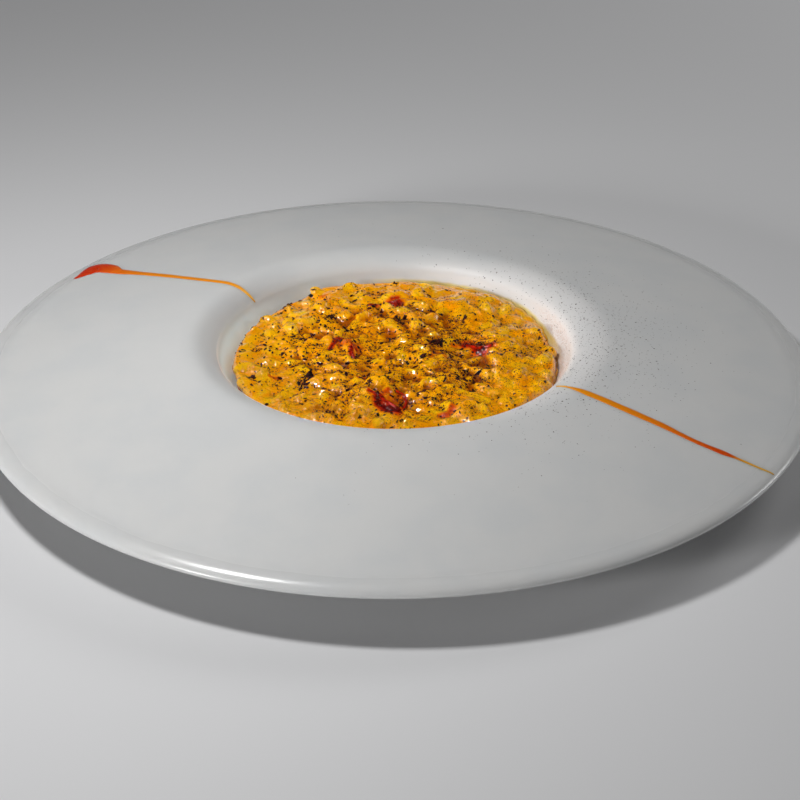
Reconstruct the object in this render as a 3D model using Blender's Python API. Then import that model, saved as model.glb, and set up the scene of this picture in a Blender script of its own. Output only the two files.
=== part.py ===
"""Saffron risotto in its wide-brimmed porcelain plate.

The plate is shaped like a hat: a broad brim falls gently outwards from a rounded
crest, and inside the crest lies a small steep well on a foot ring. The risotto
fills the well as one lumpy mass with an uneven outline.

Metres, +Z up. The origin is on the plate's axis, at the level of the table.
"""

import math

import bmesh
import bpy
from mathutils import Vector, noise
from mathutils.geometry import delaunay_2d_cdt

PLATE_SEGMENTS = 88
GAP = 0.0003                    # kept between the risotto and the plate

# Brim, from its outer edge up to the crest
EDGE_RADIUS = 0.155
EDGE_HEIGHT = 0.01665           # of the outermost point of the edge
EDGE_ROLL = (0.0086, 0.0033)    # semi-axes of the edge's upper rounding
EDGE_UNDER_ROUND = 0.00135
EDGE_UNDER_FALL = 0.0002        # the edge's underside hangs this much lower outside
BRIM_SLOPE = math.atan(0.177)
BRIM_THICKNESS = 0.0044

# Crest, and the lip that rolls from it down into the well
CREST_RADIUS = 0.076
CREST_BLEND = 0.006             # length over which the crest turns into the brim
LIP_ROLL = (0.0112, 0.0074)     # semi-axes of the lip
LIP_TURN = math.radians(90.0)   # the lip rolls over until it is upright
LIP_UNDER_ROLL = (0.016, 0.0115)

# Well
WALL_SLOPE = math.radians(54.0)
WALL_THICKNESS = 0.0058         # measured level
FLOOR_HEIGHT = 0.008
FLOOR_FILLET = (0.014, 0.011)   # semi-axes of the rounding from wall to floor

# Foot ring
FOOT_RADIUS = 0.0520            # middle of the ring
FOOT_WIDTH = 0.0046
FOOT_TOP = 0.0070               # where the well's outer wall meets the foot
FOOT_ROUND = 0.0008
RECESS_HEIGHT = 0.0032

# Risotto
RICE_LEVEL = 0.0247             # surface at the centre
RICE_EDGE_FALL = 0.0005         # fall of the surface from the centre to the rim
RICE_SIDE_FALL = 0.0013         # the rim lies this much lower at the left and right
RICE_BACK_RISE = 0.0010         # and this much higher at the back
RICE_RADIUS = 0.0598            # of the rim's rounding
RICE_BACK_REACH = 0.0042        # at the back it runs out farther, to the well's wall
RICE_ROUND = (0.0042, 0.0045)   # semi-axes of the rim's rounding
RICE_CEILING = 0.0268
RICE_RINGS = 19
MOUND_SIZE = 0.0180             # broad mounds left by the spoon
MOUND_HEIGHT = 0.0024
CLUMP_SIZE = 0.0100             # rounded clumps of grains on the mounds
CLUMP_HEIGHT = 0.0021
OUTLINE_WANDER = 0.0024         # how far the rim wanders in and out

# Lumps on the rim: bearing in degrees from +X, extra height, half width in degrees
RIM_LUMPS = (
    (117.0, 0.0016, 4.5),
    (105.0, 0.0010, 4.5),
    (89.0, 0.0010, 5.5),
    (54.0, 0.0016, 12.0),
    (-176.0, 0.0009, 6.0),
    (-62.0, 0.0009, 7.0),
    (-118.0, 0.0008, 8.0),
)


def arc(centre, axes, start, end, steps):
    """Points on an ellipse, by the angle from straight up towards the plate's axis."""
    points = []
    for step in range(steps + 1):
        turn = start + (end - start) * step / steps
        x = centre[0] - axes[0] * math.sin(turn)
        z = centre[1] + axes[1] * math.cos(turn)
        points.append((x, z))
    return points


def turn_at(slope, axes):
    """The angle from an ellipse's top at which it falls at the given slope."""
    return math.atan2(math.tan(slope) * axes[0], axes[1])


def wall_radius(height):
    """Radius of the straight part of the well's wall at a height."""
    return WALL_TOP[0] - (WALL_TOP[1] - height) / math.tan(WALL_SLOPE)


# Where the brim's straight slope leaves the edge's roll, and where it ends inside
EDGE_TURN = turn_at(BRIM_SLOPE, EDGE_ROLL)
EDGE_CENTRE = (EDGE_RADIUS - EDGE_ROLL[0], EDGE_HEIGHT)
BRIM_OUTSIDE = arc(EDGE_CENTRE, EDGE_ROLL, -EDGE_TURN, -EDGE_TURN, 1)[0]
BRIM_FALL = math.tan(BRIM_SLOPE)
BRIM_INSIDE = (
    CREST_RADIUS + CREST_BLEND,
    BRIM_OUTSIDE[1] + BRIM_FALL * (BRIM_OUTSIDE[0] - CREST_RADIUS - CREST_BLEND),
)
CREST_HEIGHT = BRIM_INSIDE[1] + BRIM_FALL * CREST_BLEND / 2.0

# Where the lip meets the wall, and the wall meets the floor's rounding; the last
# value is the gap measured level against the sloping wall
LIP_CENTRE = (CREST_RADIUS, CREST_HEIGHT - LIP_ROLL[1])
WALL_TOP = arc(LIP_CENTRE, LIP_ROLL, LIP_TURN, LIP_TURN, 1)[0]
FILLET_TURN = turn_at(WALL_SLOPE, FLOOR_FILLET)
WALL_FOOT = FLOOR_HEIGHT + FLOOR_FILLET[1] * (1.0 - math.cos(FILLET_TURN))
FLOOR_RADIUS = wall_radius(WALL_FOOT) - FLOOR_FILLET[0] * math.sin(FILLET_TURN)
LEVEL_GAP = GAP / math.sin(WALL_SLOPE)


def floor_fillet(gap, steps):
    """The rounding from the wall down to the floor, moved inwards by a gap."""
    centre = (FLOOR_RADIUS, FLOOR_HEIGHT + FLOOR_FILLET[1])
    axes = (FLOOR_FILLET[0] - gap, FLOOR_FILLET[1] - gap)
    return arc(centre, axes, math.pi + FILLET_TURN, math.pi, steps)


def foot_profile():
    """From the middle of the foot's recess, over the ring, to the outer wall."""
    outside = FOOT_RADIUS + FOOT_WIDTH / 2.0
    inside = FOOT_RADIUS - FOOT_WIDTH / 2.0
    return [
        (0.0, RECESS_HEIGHT),
        (inside - RECESS_HEIGHT / 2.0, RECESS_HEIGHT),
        (inside - FOOT_ROUND, FOOT_ROUND),
        (inside, 0.0),
        (outside, 0.0),
        (outside + FOOT_ROUND, FOOT_ROUND),
        (wall_radius(FOOT_TOP) + WALL_THICKNESS, FOOT_TOP),
    ]


def underside_profile():
    """The outer wall's curve out under the crest, then the brim's underside."""
    start = turn_at(WALL_SLOPE, LIP_UNDER_ROLL)
    end = turn_at(BRIM_SLOPE, LIP_UNDER_ROLL)
    wall_outside = wall_radius(EDGE_HEIGHT) + WALL_THICKNESS
    centre = (
        wall_outside + LIP_UNDER_ROLL[0] * math.sin(start),
        CREST_HEIGHT - BRIM_THICKNESS - LIP_UNDER_ROLL[1] * math.cos(end),
    )
    edge_underside = EDGE_HEIGHT - EDGE_UNDER_ROUND + EDGE_UNDER_FALL
    points = arc(centre, LIP_UNDER_ROLL, start, end, 4)
    points.append((BRIM_INSIDE[0], BRIM_INSIDE[1] - BRIM_THICKNESS))
    points.append((BRIM_OUTSIDE[0] - EDGE_UNDER_ROUND, edge_underside))
    return points


def edge_profile():
    """Round the brim's edge, from its underside to the top of its roll."""
    under_centre = (EDGE_RADIUS - EDGE_UNDER_ROUND, EDGE_HEIGHT)
    under_axes = (EDGE_UNDER_ROUND, EDGE_UNDER_ROUND)
    under = arc(under_centre, under_axes, -math.pi, -math.pi / 2.0, 2)
    over = arc(EDGE_CENTRE, EDGE_ROLL, -math.pi / 2.0, -EDGE_TURN, 4)
    return under + over[1:]


def crest_profile():
    """From the brim over the crest and down the lip."""
    blend_height = CREST_HEIGHT - BRIM_FALL * CREST_BLEND / 8.0
    points = [BRIM_INSIDE, (CREST_RADIUS + CREST_BLEND / 2.0, blend_height)]
    return points + arc(LIP_CENTRE, LIP_ROLL, 0.0, LIP_TURN, 6)


def plate_profile():
    """The whole plate, from below its middle round to the middle of the well."""
    well = floor_fillet(0.0, 3) + [(0.0, FLOOR_HEIGHT)]
    return foot_profile() + underside_profile() + edge_profile() + crest_profile() + well


def finish_mesh(work, name):
    """Turn a bmesh into a named object with smooth rounds and sharp corners."""
    bmesh.ops.recalc_face_normals(work, faces=work.faces)
    mesh = bpy.data.meshes.new(name)
    work.to_mesh(mesh)
    work.free()
    mesh.shade_smooth()
    mesh.set_sharp_from_angle(angle=math.radians(40.0))
    part = bpy.data.objects.new(name, mesh)
    bpy.context.scene.collection.objects.link(part)
    return part


def make_plate():
    """Spin the plate's profile once round the axis."""
    work = bmesh.new()
    corners = [work.verts.new((x, 0.0, z)) for x, z in plate_profile()]
    edges = [work.edges.new(pair) for pair in zip(corners, corners[1:])]
    bmesh.ops.spin(
        work,
        geom=corners + edges,
        cent=(0.0, 0.0, 0.0),
        axis=(0.0, 0.0, 1.0),
        angle=math.tau,
        steps=PLATE_SEGMENTS,
        use_merge=True,
    )
    bmesh.ops.remove_doubles(work, verts=work.verts, dist=0.000001)
    return finish_mesh(work, "plate")


def disc_of_triangles(work, radius, rings):
    """A flat disc of even triangles, with six more corners on each ring outwards."""
    places = [Vector((0.0, 0.0))]
    for ring in range(1, rings + 1):
        for corner in range(6 * ring):
            turn = math.tau * corner / (6 * ring)
            reach = radius * ring / rings
            places.append(Vector((reach * math.cos(turn), reach * math.sin(turn))))
    outer = len(places) - 6 * rings
    outline = [(outer + i, outer + (i + 1) % (6 * rings)) for i in range(6 * rings)]
    flat, _, triangles, _, _, _ = delaunay_2d_cdt(places, outline, [], 1, 0.000001)
    corners = [work.verts.new((place.x, place.y, 0.0)) for place in flat]
    for triangle in triangles:
        work.faces.new([corners[index] for index in triangle])


def angle_between(first, second):
    """The smaller angle between two bearings, in degrees."""
    return abs((first - second + 180.0) % 360.0 - 180.0)


def rice_height(x, y):
    """Height of the risotto's surface: its mounds, its tilt and the lumps on its rim."""
    share = math.hypot(x, y) / RICE_RADIUS
    bearing = math.degrees(math.atan2(y, x))
    height = RICE_LEVEL - RICE_EDGE_FALL * share ** 3
    height += RICE_BACK_RISE * y / RICE_RADIUS
    height -= RICE_SIDE_FALL * share ** 2 * (x / RICE_RADIUS) ** 2
    height += MOUND_HEIGHT * noise.noise(Vector((x, y, 0.0)) / MOUND_SIZE)
    nearest = noise.voronoi(Vector((x, y, 0.0)) / CLUMP_SIZE)[0][0]
    height += CLUMP_HEIGHT * (0.3 - nearest ** 2)
    for lump_bearing, rise, half_width in RIM_LUMPS:
        away = angle_between(bearing, lump_bearing) / half_width
        height += rise * share ** 6 * math.exp(-away * away)
    return min(height, RICE_CEILING)


def rim_reach(x, y):
    """How far out or in the rim lies on the bearing of a point."""
    bearing = Vector((x, y, 0.0)).normalized()
    spread = RICE_BACK_REACH * max(0.0, bearing.y) ** 1.5
    return spread + OUTLINE_WANDER * noise.noise(bearing * RICE_RADIUS / MOUND_SIZE)


def drop_ring(work, edges, radius, height, wander):
    """Extrude an edge loop to the next level of the risotto's side."""
    grown = bmesh.ops.extrude_edge_only(work, edges=edges)["geom"]
    for corner in [item for item in grown if isinstance(item, bmesh.types.BMVert)]:
        x, y, z = corner.co
        level = height + (z - height) * wander
        reach = min(radius + wander * rim_reach(x, y), wall_radius(level) - LEVEL_GAP)
        scale = reach / math.hypot(x, y)
        corner.co = (x * scale, y * scale, level)
    return [item for item in grown if isinstance(item, bmesh.types.BMEdge)]


def make_risotto():
    """A lumpy surface, rounded over at its rim and let down into the well."""
    work = bmesh.new()
    rim_start = RICE_RADIUS - RICE_ROUND[0]
    disc_of_triangles(work, rim_start, RICE_RINGS)
    loop = [edge for edge in work.edges if edge.is_boundary]
    for corner in work.verts:
        x, y, _ = corner.co
        corner.co.z = rice_height(x, y)

    rim_height = RICE_LEVEL - RICE_EDGE_FALL
    rim_centre = (rim_start, rim_height - RICE_ROUND[1])
    rounding = arc(rim_centre, RICE_ROUND, 0.0, -math.pi / 2.0, 4)
    for step, (radius, height) in enumerate(rounding[1:], start=1):
        wander = 1.0 - step / (len(rounding) + 1)
        loop = drop_ring(work, loop, radius, height, wander)
    for radius, height in floor_fillet(GAP, 3):
        loop = drop_ring(work, loop, radius, height, 0.0)
    bmesh.ops.edgeloop_fill(work, edges=loop)
    return finish_mesh(work, "risotto")


def paint(part, name, colour, roughness):
    """Give a part its own plain material."""
    material = bpy.data.materials.new(name)
    material.use_nodes = True
    shader = material.node_tree.nodes["Principled BSDF"]
    shader.inputs["Base Color"].default_value = (*colour, 1.0)
    shader.inputs["Roughness"].default_value = roughness
    shader.inputs["Metallic"].default_value = 0.0
    part.data.materials.append(material)


def build():
    for old in list(bpy.data.objects):
        bpy.data.objects.remove(old)

    dish = bpy.data.objects.new("saffron_risotto_dish", None)
    bpy.context.scene.collection.objects.link(dish)

    plate = make_plate()
    paint(plate, "white_porcelain", (0.72, 0.72, 0.71), 0.2)
    plate.parent = dish

    risotto = make_risotto()
    paint(risotto, "saffron_risotto", (0.82, 0.46, 0.02), 0.3)
    risotto.parent = dish


build()
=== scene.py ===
"""Saffron risotto in its wide-brimmed porcelain plate: the looks, built on the frame.

The plate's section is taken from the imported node, rounded and spun. The risotto is a
core of cream with grains of rice sunk in it, skinned as one wet surface. Pepper, fine
spice, saffron threads and two strokes of sauce lie on top.

Metres, +Z up, the frame's own axes: the diner sits on the -Y side.
"""

import math

import bmesh
import bpy
import numpy as np
from mathutils import Matrix, Vector, noise
from mathutils.bvhtree import BVHTree


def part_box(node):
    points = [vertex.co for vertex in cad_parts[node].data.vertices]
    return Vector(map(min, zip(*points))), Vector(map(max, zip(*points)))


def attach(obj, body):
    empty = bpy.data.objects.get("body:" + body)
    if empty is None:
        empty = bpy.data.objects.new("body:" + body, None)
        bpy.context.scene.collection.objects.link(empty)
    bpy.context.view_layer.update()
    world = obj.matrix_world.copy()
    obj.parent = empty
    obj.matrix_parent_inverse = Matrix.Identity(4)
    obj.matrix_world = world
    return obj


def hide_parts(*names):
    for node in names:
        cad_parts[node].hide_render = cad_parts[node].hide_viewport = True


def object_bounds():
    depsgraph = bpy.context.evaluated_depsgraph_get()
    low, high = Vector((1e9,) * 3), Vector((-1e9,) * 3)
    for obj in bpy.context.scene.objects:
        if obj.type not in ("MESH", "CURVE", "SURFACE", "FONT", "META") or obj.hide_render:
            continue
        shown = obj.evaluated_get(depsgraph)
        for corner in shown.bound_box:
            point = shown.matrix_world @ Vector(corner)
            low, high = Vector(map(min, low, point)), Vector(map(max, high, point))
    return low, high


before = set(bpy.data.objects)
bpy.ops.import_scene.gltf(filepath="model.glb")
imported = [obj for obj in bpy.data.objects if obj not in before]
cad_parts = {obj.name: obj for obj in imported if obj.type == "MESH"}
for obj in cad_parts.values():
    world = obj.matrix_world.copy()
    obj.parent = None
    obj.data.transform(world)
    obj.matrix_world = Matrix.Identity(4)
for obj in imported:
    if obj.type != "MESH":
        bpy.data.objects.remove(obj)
CAD_LOW, CAD_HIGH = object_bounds()

# Places that the frame gives
CREST_HEIGHT = CAD_HIGH.z
RICE_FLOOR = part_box("risotto")[0].z

# Plate
PLATE_STEPS = 224                   # of the spin round the axis
SECTION_CUTS = 2                    # levels of rounding along the section
MERGE_REACH = 0.000002              # corners closer than this are one

# Risotto
CREAM_DROP = 0.0003                 # the cream lies this much below the solid's surface
SKIN_VOXEL = 0.00050
SKIN_SMOOTHING = 7
SIDE_HEIGHT = 0.0165                # below this the side is plain
GRAIN_SIZE = (0.0086, 0.0046, 0.0036)
GRAIN_TRIES = 9000
GRAIN_SPACING = 0.0035
PROUD_LIFT = 0.4                    # mm added to the height of the grains that stand out
OVAL_SIZE = (0.0110, 0.0054, 0.0044)    # of the cream that lies against the wall
RICE_EDGE = 0.0585                  # no grain's middle lies farther out, and no swell
SWELLS = ((0.0085, 0.0009), (0.0040, 0.0010), (0.0019, 0.00036))   # size and height
SWELL_FOOT = 0.0185                 # the swells move only what lies above this
SWELL_SEED = 2                      # unseeded, the swells differ from run to run

# What is strewn on top
STREWN_REACH = 0.0596               # the flecks keep clear of the gap beside the wall
PEPPER_COUNT = 3900
SPICE_COUNT = 11500
BRIM_SPICE_COUNT = 1900


def spot(x, y):
    """A point of the plan, given in millimetres from the plate's axis."""
    return Vector((x, y, 0.0)) / 1000.0


def polar(radius, bearing):
    """A point of the plan, from millimetres and degrees from +X."""
    turn = math.radians(bearing)
    return spot(radius * math.cos(turn), radius * math.sin(turn))


# ---------------------------------------------------------------- shader maths


class Number:
    """A number socket of a material. Arithmetic on it adds Math nodes."""

    def __init__(self, finish, socket):
        self.finish = finish
        self.socket = socket

    def maths(self, operation, *values):
        return self.finish.number("ShaderNodeMath", {"operation": operation}, values)

    def __add__(self, other):
        return self.maths("ADD", self, other)

    __radd__ = __add__

    def __sub__(self, other):
        return self.maths("SUBTRACT", self, other)

    def __rsub__(self, other):
        return self.maths("SUBTRACT", other, self)

    def __mul__(self, other):
        return self.maths("MULTIPLY", self, other)

    __rmul__ = __mul__

    def __pow__(self, other):
        return self.maths("POWER", self, other)

    def rise(self, start, end):
        """0 below start, 1 above end, and smooth between them."""
        settings = {"interpolation_type": "SMOOTHSTEP"}
        inputs = {"Value": self, "From Min": start, "From Max": end}
        return self.finish.number("ShaderNodeMapRange", settings, inputs)

    def fall(self, start, end):
        """1 below start, 0 above end, and smooth between them."""
        return 1.0 - self.rise(start, end)


class Finish:
    """A procedural material round one Principled shader."""

    def __init__(self, name, **constants):
        self.material = bpy.data.materials.new(name)
        self.material.use_nodes = True
        self.tree = self.material.node_tree
        self.shader = self.tree.nodes["Principled BSDF"]
        for label, value in constants.items():
            self.shader.inputs[label.replace("_", " ")].default_value = value

    def node(self, kind, settings, inputs):
        """Add a node: its type, its settings, and its sockets' values or links."""
        node = self.tree.nodes.new(kind)
        for label, value in settings.items():
            if label == "stops":
                self.set_stops(node.color_ramp, value)
            else:
                setattr(node, label, value)
        pairs = inputs.items() if isinstance(inputs, dict) else enumerate(inputs)
        for label, value in pairs:
            self.feed(node.inputs[label], value)
        return node

    def number(self, kind, settings, inputs, output=0):
        return Number(self, self.node(kind, settings, inputs).outputs[output])

    def feed(self, socket, value):
        """Give a socket a value, or link it to another socket."""
        if isinstance(value, Number):
            value = value.socket
        if isinstance(value, bpy.types.NodeSocket):
            self.tree.links.new(value, socket)
        else:
            socket.default_value = value

    def set_stops(self, ramp, stops):
        while len(ramp.elements) < len(stops):
            ramp.elements.new(1.0)
        for element, (place, colour) in zip(ramp.elements, stops):
            element.position = place
            element.color = colour

    def place(self):
        """The point in the object's own space."""
        return self.node("ShaderNodeTexCoord", {}, {}).outputs["Object"]

    def axes(self):
        """The point's x, y and z as numbers."""
        split = self.node("ShaderNodeSeparateXYZ", {}, [self.place()])
        return [Number(self, output) for output in split.outputs]

    def noise(self, size, detail=2.0, roughness=0.5, stretch=(1.0, 1.0, 1.0)):
        """Cloudy noise whose lumps have the given size in metres."""
        place = self.node("ShaderNodeMapping", {}, {"Vector": self.place(), "Scale": stretch})
        inputs = {
            "Vector": place.outputs[0],
            "Scale": 1.0 / size,
            "Detail": detail,
            "Roughness": roughness,
        }
        return self.number("ShaderNodeTexNoise", {}, inputs)

    def cells(self, size):
        """Distance to the nearest of points scattered the given size apart."""
        inputs = {"Vector": self.place(), "Scale": 1.0 / size}
        return self.number("ShaderNodeTexVoronoi", {}, inputs, "Distance")

    def attribute(self, name):
        return self.number("ShaderNodeAttribute", {"attribute_name": name}, {}, "Fac")

    def mix(self, share, first, second):
        """A colour that goes from the first to the second as the share rises."""
        settings = {"data_type": "RGBA", "clamp_factor": True}
        inputs = {0: share, 6: first, 7: second}
        return self.node("ShaderNodeMix", settings, inputs).outputs[2]

    def set(self, **feeds):
        """Feed the shader's sockets with what changes over the surface."""
        for label, value in feeds.items():
            self.feed(self.shader.inputs[label.replace("_", " ")], value)

    def bump(self, height, depth, under=None):
        """Relief of the given depth in metres from a height between 0 and 1."""
        inputs = {"Height": height, "Strength": 1.0, "Distance": depth}
        if under is not None:
            inputs["Normal"] = under
        return self.node("ShaderNodeBump", {}, inputs).outputs[0]


def shade(red, green, blue):
    """A colour as a paint chart gives it, 0 to 255, for the shaders."""
    values = []
    for value in (red, green, blue):
        value /= 255.0
        low = value / 12.92
        high = ((value + 0.055) / 1.055) ** 2.4
        values.append(low if value <= 0.04045 else high)
    return (*values, 1.0)


# ---------------------------------------------------------------- mesh helpers


def only(piece):
    """Select and activate one piece alone."""
    bpy.ops.object.select_all(action="DESELECT")
    piece.select_set(True)
    bpy.context.view_layer.objects.active = piece


def apply_modifier(piece, kind, **settings):
    """Add a modifier with its settings and apply it."""
    only(piece)
    modifier = piece.modifiers.new(kind.lower(), kind)
    for label, value in settings.items():
        setattr(modifier, label, value)
    bpy.ops.object.modifier_apply(modifier=modifier.name)


def copy_of_node(node, name):
    """A merged copy of a CAD node's mesh, as a new piece."""
    piece = bpy.data.objects.new(name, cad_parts[node].data.copy())
    bpy.context.scene.collection.objects.link(piece)
    piece.data.materials.clear()
    only(piece)
    bpy.ops.object.mode_set(mode="EDIT")
    bpy.ops.mesh.select_all(action="SELECT")
    bpy.ops.mesh.remove_doubles(threshold=MERGE_REACH)
    bpy.ops.object.mode_set(mode="OBJECT")
    return piece


def points_of(mesh):
    """A mesh's vertices as an array, one row a vertex."""
    points = np.empty(len(mesh.vertices) * 3)
    mesh.vertices.foreach_get("co", points)
    return points.reshape(-1, 3)


def put_points(mesh, points):
    mesh.vertices.foreach_set("co", points.ravel())
    mesh.update()


def new_piece(name, points, faces):
    """A piece from arrays of points and faces."""
    mesh = bpy.data.meshes.new(name)
    mesh.from_pydata(points.tolist(), [], faces.tolist())
    piece = bpy.data.objects.new(name, mesh)
    bpy.context.scene.collection.objects.link(piece)
    return piece


def strewn(name, master, frames, ragged=0.0):
    """One piece of many copies of a master shape, one at each 4x4 frame.

    Each corner of each copy is moved in or out a little, by the given share."""
    points = points_of(master.data)
    faces = np.array([face.vertices[:] for face in master.data.polygons])
    count = len(points)
    frames = np.array(frames)
    draws = np.random.default_rng(17)
    bulge = 1.0 + ragged * draws.normal(size=(len(frames), count, 1)).clip(-2.0, 2.0)
    spread = np.einsum("fij,fvj->fvi", frames[:, :3, :3], bulge * points)
    spread += frames[:, None, :3, 3]
    steps = np.arange(len(frames))[:, None, None] * count
    all_faces = (faces[None] + steps).reshape(-1, faces.shape[1])
    return new_piece(name, spread.reshape(-1, 3), all_faces)


def give(piece, finish, replaced=()):
    """Finish a piece: its material, its body and the nodes it stands for."""
    piece.data.materials.clear()
    piece.data.materials.append(finish.material)
    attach(piece, "root")
    for node in replaced:
        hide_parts(node)


def ground_of(*pieces):
    """A tree of all the faces of some pieces, for dropping things onto them."""
    points = []
    faces = []
    for piece in pieces:
        start = len(points)
        points += [vertex.co.copy() for vertex in piece.data.vertices]
        faces += [[start + index for index in face.vertices] for face in piece.data.polygons]
    return BVHTree.FromPolygons(points, faces)


def drop(ground, place):
    """Where a thing dropped at a place of the plan lands, and the surface's normal."""
    hit, normal, _, _ = ground.ray_cast(Vector((place[0], place[1], 0.1)), Vector((0, 0, -1)))
    return hit, normal


def lying(point, normal, turn, size, sink=0.0):
    """A 4x4 frame that lies on a surface, turned about its normal, sized and sunk."""
    tilt = normal.to_track_quat("Z", "Y").to_matrix().to_4x4()
    spin = Matrix.Rotation(turn, 4, "Z")
    scale = Matrix.Diagonal((*size, 1.0))
    return Matrix.Translation(point - normal * sink) @ tilt @ spin @ scale


# ---------------------------------------------------------------- plate


def to_the_axis(section):
    """Carry both open ends of the section in to the axis, so that the plate is closed."""
    work = bmesh.new()
    work.from_mesh(section.data)
    for end in [v for v in work.verts if len(v.link_edges) == 1]:
        beside = work.verts.new((end.co.x - 0.001, 0.0, end.co.z))
        middle = work.verts.new((0.0, 0.0, end.co.z))
        work.edges.new((end, beside))
        work.edges.new((beside, middle))
    work.to_mesh(section.data)
    work.free()


def make_plate():
    """Cut the node's section free, round it and spin it once round the axis."""
    plate = copy_of_node("plate", "porcelain_plate")
    work = bmesh.new()
    work.from_mesh(plate.data)
    section = [v for v in work.verts if abs(v.co.y) < 1e-6 and v.co.x > -1e-6]
    kept = [edge for edge in work.edges if all(v in section for v in edge.verts)]
    bmesh.ops.delete(work, geom=list(work.faces), context="FACES_ONLY")
    loose = [edge for edge in work.edges if edge not in kept]
    bmesh.ops.delete(work, geom=loose, context="EDGES")
    work.to_mesh(plate.data)
    work.free()
    apply_modifier(plate, "SUBSURF", levels=SECTION_CUTS, render_levels=SECTION_CUTS)
    to_the_axis(plate)
    only(plate)
    bpy.ops.object.mode_set(mode="EDIT")
    bpy.ops.mesh.select_all(action="SELECT")
    bpy.ops.mesh.spin(
        steps=PLATE_STEPS, angle=math.tau, center=(0.0, 0.0, 0.0), axis=(0.0, 0.0, 1.0)
    )
    bpy.ops.mesh.select_all(action="SELECT")
    bpy.ops.mesh.remove_doubles(threshold=MERGE_REACH)
    bpy.ops.mesh.normals_make_consistent(inside=False)
    bpy.ops.object.mode_set(mode="OBJECT")
    bpy.ops.object.shade_smooth()
    return plate


def porcelain():
    """Glazed white porcelain, painted whiter inside the well as a painted highlight, and greyer
    where the left rolls in as a painted shade.

    Spice dust lies on the well's right wall, and a thin yellow film of cream on its back
    right."""
    glaze = Finish("glazed_porcelain", IOR=1.45, Subsurface_Weight=0.6,
                   Subsurface_Radius=(1.0, 1.0, 1.0), Subsurface_Scale=0.006)
    x, y, z = glaze.axes()
    mottle = glaze.noise(0.021, 3.0)
    brim = glaze.mix(mottle.rise(0.35, 0.7), shade(197, 197, 196), shade(193, 194, 194))
    radius = (x * x + y * y) ** 0.5
    # Painted highlight: whiter inside the well, least at its back, and a little way out over its
    # right, in place of the glaze's reflection
    at_back = y.rise(0.010, 0.050)
    inner = (radius + x.fall(-0.080, 0.0) * 0.0015).fall(0.0640, 0.0690)
    outer = (radius - x.rise(0.0, 0.080) * 0.011).fall(0.0640, 0.0720)
    inside = inner * (1.0 - 0.8 * at_back) + outer * x.rise(0.0, 0.045) * 0.3
    # Painted light on the wall: whiter than the brim, and bluish on the left to offset the
    # orange light thrown back from the rice
    wall = glaze.mix(x.fall(-0.045, -0.010), shade(234, 230, 228), shade(226, 250, 255))
    # Painted shade: greyer on the left of the crest, which turns from the light; and a painted
    # highlight: a pale line along the near left of the lip
    roll = radius.rise(0.0640, 0.0665) * radius.fall(0.0700, 0.0770) * x.fall(-0.060, -0.030)
    shaded = glaze.mix(roll * 0.35, glaze.mix(inside, brim, wall), shade(160, 158, 156))
    from_lip = radius - 0.0656 - 0.0036 * y.fall(-0.065, -0.012)
    lip_highlight = from_lip.rise(-0.0006, -0.0001) * from_lip.fall(0.0001, 0.0006)
    near_left = (x * -0.8 - y * 0.6).rise(0.040, 0.060)
    body = glaze.mix(lip_highlight * near_left * 0.5, shaded, shade(255, 255, 255))
    # Spice dust on the right of the wall
    in_well = radius.rise(0.0575, 0.0600) * radius.fall(0.0645, 0.0665)
    at_right = x.rise(0.030, 0.060) * y.fall(0.020, 0.045)
    grit = glaze.noise(0.0007, 2.0, 0.7).rise(0.40, 0.66)
    dusted = in_well * at_right * (0.15 + 0.85 * grit)
    powdered = glaze.mix(dusted * 0.5, body, shade(196, 156, 132))
    # A film of cream up to an uneven level
    run = glaze.noise(0.0045, 2.0)
    at_back_right = (0.64 * x + 0.77 * y).rise(0.038, 0.056) * radius.fall(0.0655, 0.0670)
    level = z - 0.0008 * run + 0.0022 * y.fall(0.020, 0.045)
    film = at_back_right * level.fall(0.0232, 0.0244)
    colour = glaze.mix(film * 0.75, powdered, shade(228, 194, 30))
    waves = glaze.noise(0.030, 2.0)
    rough = 0.42 + 0.08 * glaze.noise(0.012, 3.0) - 0.22 * radius.rise(0.1440, 0.1500)
    glaze.set(Base_Color=colour, Roughness=rough, Normal=glaze.bump(waves, 0.0001))
    return glaze


# ---------------------------------------------------------------- risotto


def ball(name, segments, rings):
    """A ball one unit across: the master shape of the grains and the flecks."""
    bpy.ops.object.select_all(action="DESELECT")
    bpy.ops.mesh.primitive_uv_sphere_add(segments=segments, ring_count=rings, radius=0.5)
    piece = bpy.context.object
    piece.name = name
    bpy.ops.object.mode_set(mode="EDIT")
    bpy.ops.mesh.select_all(action="SELECT")
    bpy.ops.mesh.quads_convert_to_tris()
    bpy.ops.object.mode_set(mode="OBJECT")
    return piece


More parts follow.
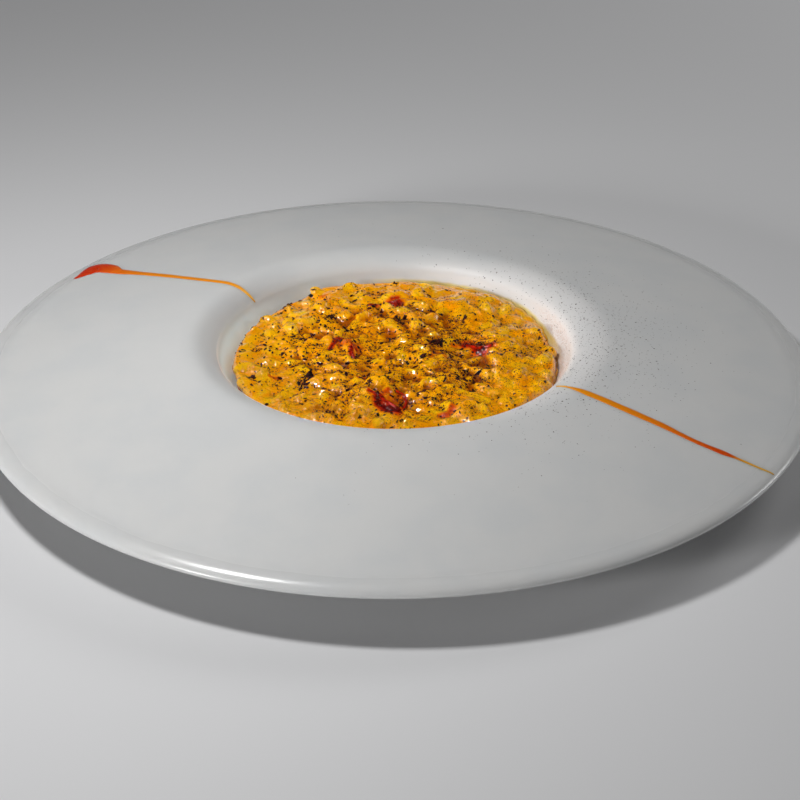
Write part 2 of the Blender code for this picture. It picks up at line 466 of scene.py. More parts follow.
# Grains that stand out: middle in the plan (mm), bearing of the length, length, height
PROUD_GRAINS = (
    (-39.6, -29.4, -60, 9.0, 1.5),
    (-34.1, -31.5, -50, 7.0, 1.0),
    (-30.0, -40.4, -35, 6.0, 1.7),
    (-20.1, -39.6, -60, 6.2, 1.8),
    (-25.7, -31.0, 20, 6.0, 0.7),
    (-5.6, -53.2, 10, 7.6, 2.0),
    (-6.1, -23.4, 10, 8.4, 1.9),
    (-12.6, -36.4, -25, 6.5, 0.9),
    (-57.0, -9.6, -70, 6.4, 1.2),
    (-55.5, 2.0, -10, 6.4, 0.6),
    (-55.0, 8.5, -5, 6.4, 0.5),
    (-53.9, 14.6, 5, 6.6, 0.7),
    (-52.2, 20.4, 15, 6.4, 0.6),
    (-48.6, 29.0, 30, 6.5, 1.2),
    (-45.3, 23.3, -20, 5.0, 1.3),
    (-39.6, 38.4, 40, 6.5, 1.0),
    (-30.6, 51.8, 35, 7.0, 1.2),
    (-17.6, 56.2, 15, 7.0, 0.9),
    (-28.4, 38.3, -60, 6.5, 1.1),
    (-20.8, 17.0, -30, 7.0, 1.2),
    (-18.5, 30.9, 60, 6.2, 1.3),
    (-40.5, 24.8, -50, 6.5, 0.8),
    (-46.1, 3.7, -40, 6.8, 1.0),
    (-48.4, -13.9, -20, 6.5, 0.9),
    (-24.9, 9.5, 0, 6.0, 1.3),
    (-33.3, -0.4, -45, 6.5, 0.9),
    (-5.8, -5.5, 0, 7.2, 1.0),
    (-16.5, -5.4, -50, 7.2, 1.1),
    (-2.3, 36.0, -20, 6.6, 1.4),
    (3.2, 32.5, -60, 6.6, 1.4),
    (8.5, 20.4, -60, 6.6, 1.1),
    (14.8, 14.2, 0, 6.4, 0.9),
    (18.4, 33.8, 0, 6.2, 0.9),
    (35.2, 36.8, -40, 6.8, 1.4),
    (53.0, 19.0, -50, 6.4, 1.2),
    (47.3, 5.0, -50, 8.4, 1.3),
    (29.9, -2.8, -35, 6.6, 0.9),
    (34.0, -16.3, 60, 6.4, 1.5),
    (38.2, -15.6, -60, 6.6, 1.5),
    (11.7, -22.8, -70, 7.4, 1.6),
    (16.1, -22.4, -30, 6.4, 0.9),
    (5.5, -31.2, -50, 6.6, 1.2),
    (18.9, -38.6, -10, 6.4, 1.3),
    (39.9, -36.0, -45, 6.6, 1.4),
    (31.4, -42.3, 10, 6.8, 1.7),
    (46.0, -14.5, 50, 6.6, 1.1),
    (56.0, -14.6, -70, 5.8, 0.8),
    (52.0, -27.0, -50, 6.2, 1.0),
    (24.0, -47.0, -10, 6.4, 1.2),
)


def grain_spots(x, y, bearing, length):
    """Three places along a grain, whose spacing keeps it clear of its neighbours."""
    along = np.array((math.cos(bearing), math.sin(bearing))) * length * 0.3
    middle = np.array((x, y))
    return [middle - along, middle, middle + along]


def packed_grains():
    """Grains lying side by side in the plan: the proud ones, then others between them.

    Each is its middle, bearing, length and the height of its top over the surface."""
    draws = np.random.default_rng(7)
    grains = []
    taken = []
    for x, y, bearing, length, height in PROUD_GRAINS:
        grain = (x / 1000.0, y / 1000.0, math.radians(bearing), length / 1000.0)
        grains.append((*grain, (height + PROUD_LIFT) / 1000.0))
        taken += grain_spots(*grain)
    for _ in range(GRAIN_TRIES):
        radius = RICE_EDGE * math.sqrt(draws.random())
        turn = math.tau * draws.random()
        x, y = radius * math.cos(turn), radius * math.sin(turn)
        drift = 1.4 * noise.noise(Vector((x, y, 0.41)) / 0.022)
        bearing = drift + draws.normal(0.0, 0.45)
        length = GRAIN_SIZE[0] * (0.8 + 0.35 * draws.random())
        spots = grain_spots(x, y, bearing, length)
        away = np.linalg.norm(np.array(taken)[:, None] - np.array(spots)[None], axis=2)
        if away.min() < GRAIN_SPACING:
            continue
        cover = noise.noise(Vector((x, y, 0.013)) / 0.015)
        rise = 0.0008 + 0.0006 * draws.normal() - 0.0018 * max(0.0, cover)
        grains.append((x, y, bearing, length, rise))
        taken += spots
    return grains


def grain_frames(ground):
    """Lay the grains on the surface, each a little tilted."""
    draws = np.random.default_rng(19)
    frames = []
    for x, y, bearing, length, rise in packed_grains():
        point, normal = drop(ground, (x, y))
        width = 0.92 + 0.25 * draws.random()
        size = (length, GRAIN_SIZE[1] * width, GRAIN_SIZE[2] * width)
        lean = Vector(draws.normal(0.0, 0.16, 3)) + normal + Vector((0.0, 0.0, 1.0))
        sink = size[2] / 2.0 - rise - CREAM_DROP
        frames.append(lying(point, lean.normalized(), bearing, size, sink))
    return frames


# Cream against the well's wall at the back, where it ran up farthest: bearing in
# degrees, height (mm)
BANK = (
    (88, 24.0), (81, 23.8), (74, 24.0), (67, 24.1), (60, 24.4), (53, 24.4), (46, 24.2),
    (39, 23.6), (33, 23.0), (27, 22.4), (22, 21.4),
)
WALL_TOP = (0.0648, 0.0248)         # radius and height of the top of the well's straight wall
WALL_LEAN = math.radians(54.0)


def bank_frames():
    """Long ovals of cream that lie against the wall, lower at the sides and the front."""
    left = [(bearing, 19.4) for bearing in range(95, 186, 7)]
    front = [(bearing, 17.8) for bearing in range(193, 312, 7)]
    right = [(bearing, 20.4) for bearing in range(319, 360, 7)]
    far_right = [(1, 20.2), (7, 20.0), (12, 20.0), (17, 20.0)]
    frames = []
    for bearing, height in (*BANK, *left, *front, *right, *far_right):
        top = height / 1000.0
        wall = WALL_TOP[0] - (WALL_TOP[1] - top) / math.tan(WALL_LEAN)
        middle = polar((wall - 0.0022) * 1000.0, bearing) + Vector((0.0, 0.0, top - 0.0021))
        turn = math.radians(bearing + 90.0)
        frames.append(lying(middle, Vector((0.0, 0.0, 1.0)), turn, OVAL_SIZE))
    return frames


def plain_side(piece):
    """Cut the skin off below the surface and let a plain side down to the well's floor."""
    only(piece)
    bpy.ops.object.mode_set(mode="EDIT")
    bpy.ops.mesh.select_all(action="SELECT")
    bpy.ops.mesh.bisect(
        plane_co=(0.0, 0.0, SIDE_HEIGHT), plane_no=(0.0, 0.0, 1.0), clear_inner=True,
        threshold=0.000001
    )
    bpy.ops.mesh.select_all(action="DESELECT")
    bpy.ops.mesh.select_non_manifold()
    depth = SIDE_HEIGHT - RICE_FLOOR - 0.0001
    for fall, draw_in in ((0.35, 0.965), (0.35, 0.93), (0.30, 0.83)):
        bpy.ops.mesh.extrude_region_move()
        bpy.ops.transform.resize(value=(draw_in, draw_in, 1.0), center_override=(0.0, 0.0, 0.0))
        bpy.ops.transform.translate(value=(0.0, 0.0, -fall * depth))
    bpy.ops.mesh.edge_face_add()
    bpy.ops.mesh.select_all(action="SELECT")
    bpy.ops.mesh.quads_convert_to_tris()
    bpy.ops.mesh.normals_make_consistent(inside=False)
    bpy.ops.object.mode_set(mode="OBJECT")


def blurred_height(points, cell=0.0008, passes=26):
    """The surface's height smoothed over a few millimetres, at each point."""
    low = points[:, :2].min(0) - 0.004
    spots = ((points[:, :2] - low) / cell).astype(int)
    shape = spots.max(0) + 8
    total = np.zeros(shape)
    count = np.zeros(shape)
    np.add.at(total, tuple(spots.T), points[:, 2])
    np.add.at(count, tuple(spots.T), 1.0)
    for _ in range(passes):
        for axis in (0, 1):
            total = total / 2.0 + (np.roll(total, 1, axis) + np.roll(total, -1, axis)) / 4.0
            count = count / 2.0 + (np.roll(count, 1, axis) + np.roll(count, -1, axis)) / 4.0
    height = total / np.maximum(count, 1e-9)
    return height[tuple(spots.T)]


def mark(piece, name, values):
    """Keep a number for each vertex."""
    layer = piece.data.attributes.new(name, "FLOAT", "POINT")
    layer.data.foreach_set("value", values.astype(np.float32))


def grain_marks(points, frames):
    """For each point: how surely it is on a grain, and that grain's own tone."""
    tones = np.random.default_rng(23).random(len(frames))
    nearest = np.full(len(points), 9.0)
    tone = np.zeros(len(points))
    for index, spread in enumerate(frames):
        matrix = np.array(spread)
        away = np.abs(points - matrix[:3, 3]).max(1)
        near = np.nonzero(away < 0.0062)[0]
        local = (points[near] - matrix[:3, 3]) @ np.linalg.inv(matrix[:3, :3]).T
        reach = 2.0 * np.linalg.norm(local, axis=1)
        closer = reach < nearest[near]
        nearest[near[closer]] = reach[closer]
        tone[near[closer]] = tones[index]
    return np.clip((1.35 - nearest) / 0.35, 0.0, 1.0), tone


def powder_shares(piece):
    """How readily powder stays on each face: it slides off the grains that stand out."""
    proud = np.empty(len(piece.data.vertices))
    piece.data.attributes["proud"].data.foreach_get("value", proud)
    corners = np.array([face.vertices[:] for face in piece.data.polygons])
    return 1.0 - 0.8 * (proud[corners].mean(1) / 0.8).clip(0.0, 1.0)


def swell(points):
    """Push the cream's surface about, so that no lump stays a plain oval."""
    noise.seed_set(SWELL_SEED)
    inner = np.hypot(points[:, 0], points[:, 1]) < RICE_EDGE
    for index in np.nonzero((points[:, 2] > SWELL_FOOT) & inner)[0]:
        place = Vector(points[index])
        for size, height in SWELLS:
            points[index] += height * np.array(noise.noise_vector(place / size))


def make_risotto():
    """Sink the grains in the cream and skin it all as one wet surface."""
    cream = copy_of_node("risotto", "saffron_risotto")
    surface = points_of(cream.data)
    surface[:, 2] -= CREAM_DROP * (surface[:, 2] > SIDE_HEIGHT)
    put_points(cream.data, surface)
    ground = ground_of(cream)
    frames = grain_frames(ground)
    master = ball("grain", 12, 8)
    grains = strewn("grains", master, frames + bank_frames())
    bpy.data.objects.remove(master)
    only(cream)
    grains.select_set(True)
    bpy.ops.object.join()
    apply_modifier(cream, "REMESH", mode="VOXEL", voxel_size=SKIN_VOXEL)
    apply_modifier(cream, "SMOOTH", factor=0.5, iterations=SKIN_SMOOTHING)
    plain_side(cream)
    points = points_of(cream.data)
    swell(points)
    put_points(cream.data, points)
    on_grain, tone = grain_marks(points, frames)
    mark(cream, "grain", on_grain)
    mark(cream, "tone", tone)
    mark(cream, "proud", (points[:, 2] - blurred_height(points)) * 1000.0)
    mark(cream, "stain", thread_stain(points))
    only(cream)
    bpy.ops.object.shade_smooth()
    return cream


def wet_risotto():
    """Saffron cream, with painted shade deepening it in the hollows, and paler grains showing
    through.
    """
    finish = Finish(
        "saffron_cream", IOR=1.42, Subsurface_Weight=0.2,
        Subsurface_Radius=(1.0, 0.40, 0.05), Subsurface_Scale=0.0012, Coat_Weight=0.9,
        Coat_Roughness=0.03,
    )
    x, y, _ = finish.axes()
    proud = finish.attribute("proud")
    grain = finish.attribute("grain")
    tone = finish.attribute("tone")
    stain = finish.attribute("stain")
    # Cream, with painted shade making it browner in the hollows, and the kernels paler where
    # they stand out
    clouds = finish.noise(0.0075, 3.0)
    cream = finish.mix(clouds.rise(0.35, 0.65), shade(250, 156, 0), shade(255, 172, 2))
    hollow_shade = finish.mix(proud.fall(-1.0, 0.0) * 0.9, cream, shade(166, 72, 0))
    kernel = finish.mix(tone, shade(255, 174, 0), shade(255, 198, 14))
    shown = grain * proud.rise(-0.2, 0.45) * 0.75
    body = finish.mix(shown, hollow_shade, kernel)
    # Spice that has soaked in: a haze and, towards the right, separate specks
    hazy = finish.noise(0.0013, 3.0, 0.7).rise(0.50, 0.68)
    thick = finish.noise(0.015, 2.0)
    dust = (hazy * thick.rise(0.34, 0.58)) * 0.3
    dusted = finish.mix(dust, body, shade(128, 62, 4))
    where = (0.55 + x * 9.0 - y * 5.0).rise(0.0, 1.1)
    specks = finish.cells(0.00078).fall(0.20, 0.34) * finish.noise(0.007, 2.0).rise(0.28, 0.48)
    speckled = finish.mix(specks * where * 0.85, dusted, shade(104, 30, 6))
    # Painted shadow of the lip darkens the dips along the near left, and the cream is thin and
    # yellow beside the wall
    lip_shadow = (x * -0.78 - y * 0.62).rise(0.0490, 0.0560) * proud.fall(0.3, 0.9)
    shaded = finish.mix(lip_shadow * 0.85, speckled, shade(146, 74, 0))
    thin = ((x * x + y * y) ** 0.5).rise(0.0585, 0.0625)
    rimmed = finish.mix(thin * 0.6, shaded, shade(208, 166, 10))
    # The threads' stain runs from orange through red to nearly black
    patchy = stain * (0.8 + 0.4 * finish.noise(0.0016, 2.0))
    orange = finish.mix(patchy.rise(0.12, 0.50), rimmed, shade(230, 104, 4))
    red = finish.mix(patchy.rise(0.45, 0.72), orange, shade(184, 34, 3))
    colour = finish.mix(patchy.rise(0.74, 0.98), red, shade(92, 8, 4))
    ripple = finish.bump(finish.noise(0.0032, 3.0, 0.6), 0.0009)
    grit = finish.bump(finish.noise(0.0011, 2.0), 0.00050, ripple)
    rough = 0.04 + 0.09 * finish.noise(0.0021, 2.0) + 0.25 * dust
    finish.set(Base_Color=colour, Roughness=rough, Normal=grit)
    return finish


# ---------------------------------------------------------------- saffron threads

# Each thread: its points in the plan (mm), its height above the surface, its radius
THREADS = (
    (((-5.4, -33.4), (-4.7, -34.8), (-3.6, -37.4), (-1.8, -40.0), (0.4, -41.6), (2.2, -42.4)),
     0.6, 0.85),
    (((1.0, -29.0), (3.0, -31.6), (4.4, -33.8), (4.4, -36.8), (3.2, -39.6)), 0.8, 0.50),
    (((-9.3, -32.6), (-7.4, -32.8), (-5.8, -33.4), (-4.8, -34.8)), 0.2, 0.42),
    (((-24.0, 2.2), (-23.0, 5.0), (-21.8, 8.2), (-20.4, 9.8)), 0.1, 0.45),
    (((-16.2, 5.8), (-15.9, 3.0), (-16.1, 0.8), (-15.2, -1.8)), 0.1, 0.45),
    (((26.4, 9.2), (28.9, 7.8), (31.2, 5.2), (32.6, 3.2)), 0.0, 0.80),
    (((31.2, 4.8), (33.8, 3.4), (36.4, 4.2)), 0.0, 0.65),
    (((-2.0, 41.2), (0.4, 40.6), (2.0, 40.0)), 0.1, 0.65),
)

# How the threads have bled: points in the plan (mm), reach, strength
BLEEDS = (
    (((-5.8, -35.0), (-5.5, -39.6), (-3.6, -41.8), (-1.0, -43.0), (1.0, -43.6)), 2.3, 1.02),
    (((-9.1, -32.8), (-6.0, -33.2), (-4.9, -34.3)), 1.1, 0.75),
    (((-4.0, -33.0), (-2.2, -30.0)), 1.8, 0.60),
    (((-1.6, -35.0), (0.4, -35.6), (2.0, -37.4)), 2.4, 0.42),
    (((1.2, -28.8), (3.0, -32.0), (4.3, -34.4), (4.2, -36.6), (3.0, -40.0)), 1.3, 0.62),
    (((-23.9, 2.4), (-22.9, 5.0), (-21.8, 8.4)), 1.2, 0.82),
    (((-21.8, 9.6), (-20.4, 9.8)), 1.5, 1.0),
    (((-20.2, 7.0), (-17.6, 5.6), (-14.8, 6.8), (-12.8, 5.0)), 2.0, 0.46),
    (((-17.0, 7.9), (-15.4, 5.6), (-14.0, 3.6)), 1.3, 0.72),
    (((-15.9, 3.0), (-16.1, 0.6), (-15.2, -1.8)), 1.3, 0.88),
    (((-18.6, 10.4), (-16.6, 9.8)), 0.7, 0.70),
    (((26.4, 9.2), (28.9, 8.0), (31.2, 5.4)), 2.4, 0.92),
    (((31.0, 4.8), (32.6, 3.0)), 2.7, 1.0),
    (((31.6, 5.0), (33.8, 3.8), (35.8, 4.4)), 2.2, 0.74),
    (((34.6, 5.6), (36.9, 4.4)), 2.0, 0.64),
    (((-1.0, 44.0), (1.4, 44.3)), 1.2, 0.74),
    (((-2.0, 41.0), (0.4, 40.4), (2.0, 40.0)), 2.1, 0.84),
    (((-9.4, 38.6), (-7.0, 39.0)), 1.3, 0.80),
    (((-6.6, 39.6), (-3.2, 40.2)), 1.4, 0.48),
    (((16.4, -45.6), (18.8, -45.0), (21.0, -42.0)), 1.5, 0.62),
    (((-45.5, -15.4), (-42.6, -16.6)), 1.0, 0.60),
    (((-13.0, -20.5), (-10.6, -19.4)), 1.1, 0.60),
    (((13.6, -4.6), (16.0, 0.6), (19.0, -4.4)), 1.1, 0.42),
    (((21.7, 8.4), (23.3, 8.4)), 1.0, 0.50),
    (((-28.5, 47.0), (-26.9, 47.1)), 1.0, 0.45),
)


def thread_stain(points):
    """How strongly the threads' red has bled into the cream at each point.

    It runs farther down the slopes that face the diner and the back than sideways."""
    squash = np.array((1.0, 1.0 / 1.5))
    plan = points[:, :2] * 1000.0 * squash
    stain = np.zeros(len(points))
    for route, reach, strength in BLEEDS:
        corners = np.array(route) * squash
        for start, end in zip(corners, corners[1:]):
            along = end - start
            share = ((plan - start) @ along / (along @ along)).clip(0.0, 1.0)
            away = np.linalg.norm(plan - start - share[:, None] * along, axis=1) / reach
            stain = np.maximum(stain, strength * np.exp(-(away ** 2)))
    return stain


def make_threads(ground):
    """Lay the threads on the risotto as tubes whose thickness wavers along them."""
    tubes = []
    for index, (route, height, radius) in enumerate(THREADS):
        curve = bpy.data.curves.new("thread", "CURVE")
        curve.dimensions = "3D"
        curve.bevel_depth = 0.001
        curve.bevel_resolution = 2
        curve.use_fill_caps = True
        curve.resolution_u = 6
        line = curve.splines.new("NURBS")
        line.points.add(len(route) - 1)
        line.use_endpoint_u = True
        for step, (x, y) in enumerate(route):
            point, _ = drop(ground, spot(x, y))
            share = step / (len(route) - 1)
            lift = height * math.sin(math.pi * (0.12 + 0.76 * share)) - 0.3 * radius
            line.points[step].co = (x / 1000.0, y / 1000.0, point.z + lift / 1000.0, 1.0)
            waver = 0.5 + 0.5 * math.sin(2.6 * share * math.pi + index)
            line.points[step].radius = radius * (0.7 + 0.3 * waver)
        tube = bpy.data.objects.new("thread", curve)
        bpy.context.scene.collection.objects.link(tube)
        tubes.append(tube)
    bpy.ops.object.select_all(action="DESELECT")
    for tube in tubes:
        tube.select_set(True)
    bpy.context.view_layer.objects.active = tubes[0]
    bpy.ops.object.convert(target="MESH")
    bpy.ops.object.join()
    threads = bpy.context.object
    threads.name = "saffron_threads"
    only(threads)
    bpy.ops.object.shade_smooth()
    return threads


def saffron_red():
    """Wet dark red, with streaks of brighter orange."""
    finish = Finish(
        "saffron_thread", Roughness=0.22, IOR=1.45, Coat_Weight=0.5, Coat_Roughness=0.08,
        Subsurface_Weight=0.15, Subsurface_Radius=(1.0, 0.2, 0.05), Subsurface_Scale=0.001,
    )
    tone = finish.noise(0.0026, 2.0)
    streak = finish.noise(0.0006, 2.0, stretch=(1.0, 1.0, 0.4))
    red = finish.mix(tone.rise(0.40, 0.64), shade(84, 5, 2), shade(190, 24, 2))
    colour = finish.mix(streak.rise(0.5, 0.8) * 0.4, red, shade(226, 72, 4))
    finish.set(Base_Color=colour, Normal=finish.bump(streak, 0.00012))
    return finish


# ---------------------------------------------------------------- pepper and spice


def strew(ground, shares, master, name, draws, count, chance, size, spread, sink):
    """Drop ragged flecks, thicker where the chance and a face's share are higher."""
    frames = []
    while len(frames) < count:
        radius = STREWN_REACH * math.sqrt(draws.random())
        turn = math.tau * draws.random()
        x, y = radius * math.cos(turn), radius * math.sin(turn)
        luck, bulk, flat, spin = draws.random(4)
        likely = chance(x, y)
        if luck > likely:
            continue
        point, normal, face, _ = ground.ray_cast(Vector((x, y, 0.1)), Vector((0, 0, -1)))
        if point is None or luck > likely * shares[face]:
            continue
        width = size * math.exp(spread * draws.normal())
        sides = (width * (0.9 + 1.1 * bulk), width * 0.9, width * (0.5 + 0.5 * flat))
        lean = (normal + Vector(draws.normal(0.0, 0.3, 3))).normalized()
        frames.append(lying(point, lean, math.tau * spin, sides, sink * width))
    return strewn(name, master, frames, ragged=0.22)


# Where the pepper lies thickest: middle in the plan (mm), radius, strength
PEPPER_CLUMPS = (
    (16.6, 8.4, 1.6, 66), (14.9, 8.9, 1.0, 50), (-6.2, 47.8, 1.8, 30), (-23.6, 29.6, 1.4, 34),
    (0.4, 58.6, 1.4, 34), (-3.4, 58.0, 1.4, 16), (-32.9, -21.4, 2.4, 11), (-36.4, -17.0, 4.0, 6),
    (-53.6, -14.6, 1.2, 26), (-51.8, -16.4, 1.1, 26), (-44.7, 36.4, 1.6, 20),
    (-42.0, 41.2, 2.2, 16), (-53.5, 22.6, 1.6, 24), (-37.9, -9.8, 1.8, 12),
    (-9.4, -24.3, 1.4, 24), (-3.3, -19.5, 1.4, 28), (-12.0, -19.9, 1.2, 24),
    (-23.1, -46.1, 2.6, 10), (-13.9, 49.7, 1.2, 18), (21.0, 11.5, 1.4, 14),
    (24.2, 12.0, 1.6, 14), (41.5, -3.6, 1.8, 14), (44.4, 41.6, 1.5, 30), (24.7, 48.8, 1.4, 18),
    (46.2, 0.0, 1.4, 14), (30.0, 32.2, 1.2, 12), (43.0, 22.5, 1.4, 20), (1.0, 26.4, 1.4, 14),
    (34.0, 49.4, 1.6, 16), (30.6, 9.4, 1.2, 18), (-36.0, 0.0, 6.0, 2), (5.0, -50.0, 4.0, 3),
    (40.0, -1.0, 5.0, 3), (20.0, -2.0, 6.0, 3), (-48.5, 30.5, 1.6, 26), (-40.4, 42.6, 1.4, 20),
)


def pepper_chance(x, y):
    """How likely a flake of pepper stays where it falls."""
    drift = noise.noise(Vector((x, y, 0.31)) / 0.011) + 0.45
    chance = (0.022 + 0.05 * max(0.0, drift) ** 1.5) * (1.0 + 12.0 * max(0.0, -x))
    for middle_x, middle_y, radius, strength in PEPPER_CLUMPS:
        away = math.dist((x, y), (middle_x / 1000.0, middle_y / 1000.0)) * 1000.0 / radius
        chance += 0.02 * strength * math.exp(-away * away)
    return chance


def spice_chance(x, y):
    """The fine brown spice lies in drifts, thicker towards the middle and the right."""
    drift = noise.noise(Vector((x, y, 0.77)) / 0.012) + 0.45
    towards = 0.55 + 8.0 * x + 4.0 * max(0.0, -y)
    edge = 1.0 - min(1.0, math.hypot(x, y) / 0.080) ** 4
    return 0.5 * max(0.05, drift) * max(0.12, towards) * edge


def brim_places(draws, count):
    """Where the spice that missed the well lies on the brim's right side."""
    places = []
    while len(places) < count:
        bearing = math.radians(draws.normal(-2.0, 34.0))
        radius = 0.0640 + abs(draws.normal(0.0, 0.023))
        if radius < 0.14:
            places.append((radius * math.cos(bearing), radius * math.sin(bearing)))
    return places


def make_brim_spice(ground, master):
    """Fine grey specks on the brim, nearly flat on the glaze."""
    draws = np.random.default_rng(91)
    frames = []
    for x, y in brim_places(draws, BRIM_SPICE_COUNT):
        point, normal = drop(ground, (x, y))
        width = 0.00029 * math.exp(0.36 * draws.normal())
        sides = (width * 1.3, width, width * 0.5)
        frames.append(lying(point, normal, math.tau * draws.random(), sides, 0.1 * width))
    return strewn("brim_spice", master, frames)


def dark_fleck(name, dark, warm, roughness):
    """Dry ground spice: a dark colour that varies from fleck to fleck."""
    finish = Finish(name, Roughness=roughness, IOR=1.45, Specular_IOR_Level=0.2)
    tone = finish.noise(0.0014, 1.0)
    finish.set(Base_Color=finish.mix(tone.rise(0.4, 0.66), dark, warm))
    return finish


# ---------------------------------------------------------------- strokes of sauce

# Stations along each stroke: point in the plan (mm) and width there
LEFT_STROKE = (
    ((-53.6, 37.8), 0.4), ((-55.0, 38.2), 0.9), ((-57.4, 39.6), 1.4), ((-60.8, 42.2), 1.7),
    ((-66.0, 45.9), 2.0), ((-73.0, 50.8), 2.1), ((-81.0, 56.4), 2.2), ((-90.4, 62.9), 2.5),
    ((-99.6, 68.8), 2.8), ((-106.0, 72.8), 3.8), ((-112.2, 76.9), 4.8),
)
LEFT_TRUMPET = (
    ((-110.4, 75.8), 4.2), ((-113.4, 79.2), 7.2), ((-116.4, 81.8), 9.2), ((-119.2, 82.6), 10.2),
    ((-121.6, 80.9), 8.0), ((-123.8, 78.3), 4.9), ((-125.8, 75.9), 2.5), ((-127.5, 74.2), 0.8),
)
RIGHT_STROKE = (
    ((58.0, -38.8), 0.5), ((61.7, -41.5), 0.9), ((63.8, -42.8), 1.5), ((66.5, -44.3), 2.3),
    ((69.6, -45.9), 2.9), ((75.1, -48.9), 3.0), ((86.0, -55.2), 3.0), ((94.0, -59.9), 2.8),
    ((100.2, -64.2), 2.1), ((106.0, -67.9), 2.0), ((111.2, -70.6), 2.2), ((113.9, -72.0), 2.4),
    ((116.8, -73.4), 1.6), ((119.6, -74.9), 1.0), ((127.0, -79.0), 0.7), ((130.9, -80.5), 0.3),
)


def smooth_stations(stations, pieces=6):
    """Points and widths on a smooth curve through the stations."""
    rows = np.array([(x, y, width) for (x, y), width in stations]) / 1000.0
    padded = np.vstack([2 * rows[0] - rows[1], rows, 2 * rows[-1] - rows[-2]])
    smooth = []
    for index in range(1, len(padded) - 2):
        a, b, c, d = padded[index - 1:index + 3]
        for t in np.arange(pieces) / pieces:
            curve = 2 * b + (c - a) * t + (2 * a - 5 * b + 4 * c - d) * t ** 2
            smooth.append((curve + (3 * b - a - 3 * c + d) * t ** 3) / 2.0)
    smooth.append(rows[-1])
    return np.array(smooth)


def make_stroke(name, stations, ground, thickness=0.00016):
    """A thin domed ribbon of sauce, laid on the glaze along its stations."""
    rows = smooth_stations(stations)
    heads = np.gradient(rows[:, :2], axis=0)
    heads /= np.linalg.norm(heads, axis=1)[:, None]
    shares = np.array((-1.0, -0.8, -0.4, 0.0, 0.4, 0.8, 1.0))
    points = []
    for (x, y, width), (along_x, along_y) in zip(rows, heads):
        wobble = 1.0 + 0.10 * noise.noise(Vector((x, y, 0.0)) / 0.004)
        for share in shares:
            side = share * width / 2.0 * wobble
            place = (x - along_y * side, y + along_x * side)
            landing, normal = drop(ground, place)
            dome = thickness * (1.0 - share ** 2) ** 0.5 + 0.00001
            points.append(landing + normal * dome)
    count = len(shares)
    faces = []
    for row in range(len(rows) - 1):
        for step in range(count - 1):
            corner = row * count + step
            faces.append((corner, corner + 1, corner + count + 1, corner + count))
    ribbon = new_piece(name, np.array(points), np.array(faces))
    apply_modifier(ribbon, "SOLIDIFY", thickness=0.00012, offset=-1.0)
    only(ribbon)
    bpy.ops.object.mode_set(mode="EDIT")
    bpy.ops.mesh.select_all(action="SELECT")
    bpy.ops.mesh.normals_make_consistent(inside=False)
    bpy.ops.object.mode_set(mode="OBJECT")
    bpy.ops.object.shade_smooth()
    return ribbon


def sauce(name, *stops):
    """Thin sauce whose colour changes on its way out over the brim.

    A stop is a distance from the plate's axis in mm and the colour there."""
    finish = Finish(name, Roughness=0.32, IOR=1.4)
    x, y, _ = finish.axes()
    cloud = finish.noise(0.004, 3.0)
    radius = (x * x + y * y) ** 0.5 + 0.004 * cloud - 0.002
    ramp = finish.node(
        "ShaderNodeValToRGB",
        {"stops": [(reach / 200.0, colour) for reach, colour in stops]},
        {"Fac": radius * 5.0},
    )
    thin = finish.noise(0.0012, 2.0).rise(0.35, 0.75)
    finish.set(
        Base_Color=finish.mix(thin * 0.15, ramp.outputs[0], shade(226, 150, 50)),
        Normal=finish.bump(cloud, 0.0001),
    )
    return finish


# ---------------------------------------------------------------- the stage


def make_floor():
    """A plain pale floor far larger than the view, glowing more the farther it lies from the
    plate: painted light.
    """
    bpy.ops.object.select_all(action="DESELECT")
    bpy.ops.mesh.primitive_plane_add(size=8.0, location=(0.0, 0.0, CAD_LOW.z - 0.0002))
    floor = bpy.context.object
    floor.name = "pale_floor"
    finish = Finish("pale_floor", Base_Color=shade(214, 214, 215), Roughness=0.6,
                    Emission_Strength=1.0)
    x, y, _ = finish.axes()
    # Painted light: the floor glows, the more the farther it lies from the plate
    away = ((x * x + y * y) ** 0.5).rise(0.25, 2.0)
    finish.set(Emission_Color=finish.mix(away, shade(0, 0, 0), shade(172, 172, 174)))
    floor.data.materials.append(finish.material)


def soft_light(name, bearing, elevation, distance, width, height, power, gloss=True):
    """A softbox that looks at the plate, from a bearing in degrees from +X.

    Without gloss it lights the plate and leaves no shine."""
    light = bpy.data.lights.new(name, "AREA")
    light.shape = "RECTANGLE"
    light.size = width
    light.size_y = height
    light.energy = power
    lamp = bpy.data.objects.new(name, light)
    lamp.visible_glossy = gloss
    turn = math.radians(bearing)
    rise = math.radians(elevation)
    level = math.cos(rise)
    away = Vector((math.cos(turn) * level, math.sin(turn) * level, math.sin(rise)))
    lamp.location = away * distance + Vector((0.0, 0.0, CREST_HEIGHT))
    lamp.rotation_euler = away.to_track_quat("Z", "Y").to_euler()
    bpy.context.scene.collection.objects.link(lamp)


def make_lights():
    """A small near softbox at the upper left, a low one at the front left, weak ones at
    the right and behind, in a dim pale room."""
    soft_light("key", 196.0, 65.0, 0.42, 0.07, 0.07, 1.36)
    soft_light("front_left", 223.0, 12.0, 1.4, 0.2, 0.2, 11.2)
    soft_light("right", 14.0, 11.0, 1.2, 0.5, 0.3, 2.8)
    soft_light("behind", 42.0, 30.0, 1.4, 0.6, 0.4, 4.4, gloss=False)
    world = bpy.data.worlds.new("pale_room")
    world.use_nodes = True
    world.node_tree.nodes["Background"].inputs["Color"].default_value = (0.92, 0.95, 1.0, 1.0)
    world.node_tree.nodes["Background"].inputs["Strength"].default_value = 0.01
    bpy.context.scene.world = world


CAMERA_AIM = Vector((0.00209, 0.0, 0.00469))
CAMERA_DISTANCE = 0.94398
CAMERA_ELEVATION = math.radians(28.335)
CAMERA_ROLL = math.radians(-0.182)


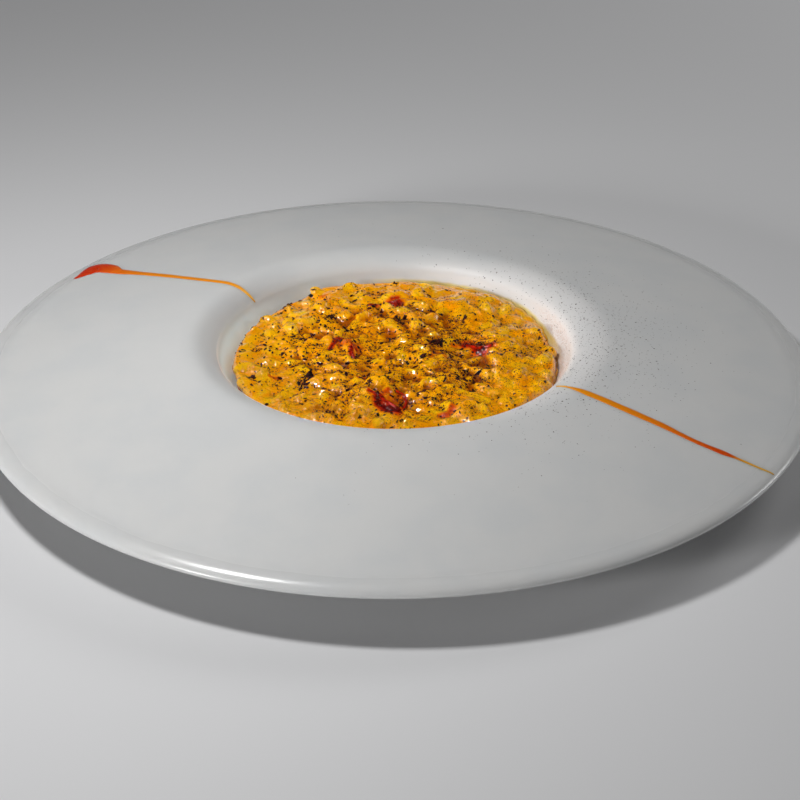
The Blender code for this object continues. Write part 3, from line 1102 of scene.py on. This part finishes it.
def make_camera():
    """A long lens from the diner's side, so that the brim runs out of the picture."""
    camera = bpy.data.cameras.new("camera")
    camera.sensor_width = 36.0
    camera.lens = 113.1
    camera.clip_start = 0.01
    holder = bpy.data.objects.new("camera", camera)
    back = Vector((0.0, -math.cos(CAMERA_ELEVATION), math.sin(CAMERA_ELEVATION)))
    turned = back.to_track_quat("Z", "Y").to_matrix() @ Matrix.Rotation(CAMERA_ROLL, 3, "Z")
    holder.location = CAMERA_AIM + back * CAMERA_DISTANCE
    holder.rotation_euler = turned.to_euler()
    bpy.context.scene.collection.objects.link(holder)
    bpy.context.scene.camera = holder


# ---------------------------------------------------------------- putting it together


def build():
    plate = make_plate()
    give(plate, porcelain(), ["plate"])
    glaze = ground_of(plate)

    risotto = make_risotto()
    give(risotto, wet_risotto(), ["risotto"])
    surface = ground_of(risotto)

    fleck = ball("fleck", 5, 4)
    crumb = ball("crumb", 4, 3)
    draws = np.random.default_rng(5)
    shares = powder_shares(risotto)
    pepper = strew(surface, shares, fleck, "pepper", draws, PEPPER_COUNT, pepper_chance,
                   0.00054, 0.40, 0.0)
    give(pepper, dark_fleck("pepper", shade(9, 4, 3), shade(72, 18, 5), 0.6))
    spice = strew(surface, shares, crumb, "fine_spice", draws, SPICE_COUNT, spice_chance,
                  0.00030, 0.30, 0.0)
    give(spice, dark_fleck("fine_spice", shade(96, 28, 6), shade(160, 78, 14), 0.6))
    brim = make_brim_spice(glaze, crumb)
    give(brim, dark_fleck("brim_spice", shade(52, 48, 48), shade(96, 80, 72), 0.6))
    bpy.data.objects.remove(fleck)
    bpy.data.objects.remove(crumb)

    give(make_threads(surface), saffron_red())

    amber = shade(226, 140, 8)
    left = make_stroke("left_stroke", LEFT_STROKE, glaze)
    give(left, sauce("left_sauce", (66, shade(228, 170, 60)), (76, amber),
                     (120, shade(222, 124, 8)), (138, shade(222, 92, 14))))
    trumpet = make_stroke("left_stroke_end", LEFT_TRUMPET, glaze, 0.0002)
    give(trumpet, sauce("red_sauce", (134, shade(224, 100, 18)), (142, shade(206, 52, 10)),
                        (149, shade(192, 26, 10))))
    right = make_stroke("right_stroke", RIGHT_STROKE, glaze)
    give(right, sauce("right_sauce", (70, shade(224, 172, 30)), (77, shade(220, 136, 10)),
                      (108, shade(212, 112, 6)), (128, shade(200, 72, 2)),
                      (137, shade(188, 50, 0)), (143, shade(206, 146, 26)),
                      (154, shade(204, 160, 44))))

    make_floor()
    make_lights()
    make_camera()
    bpy.context.scene.view_settings.view_transform = "Standard"


build()
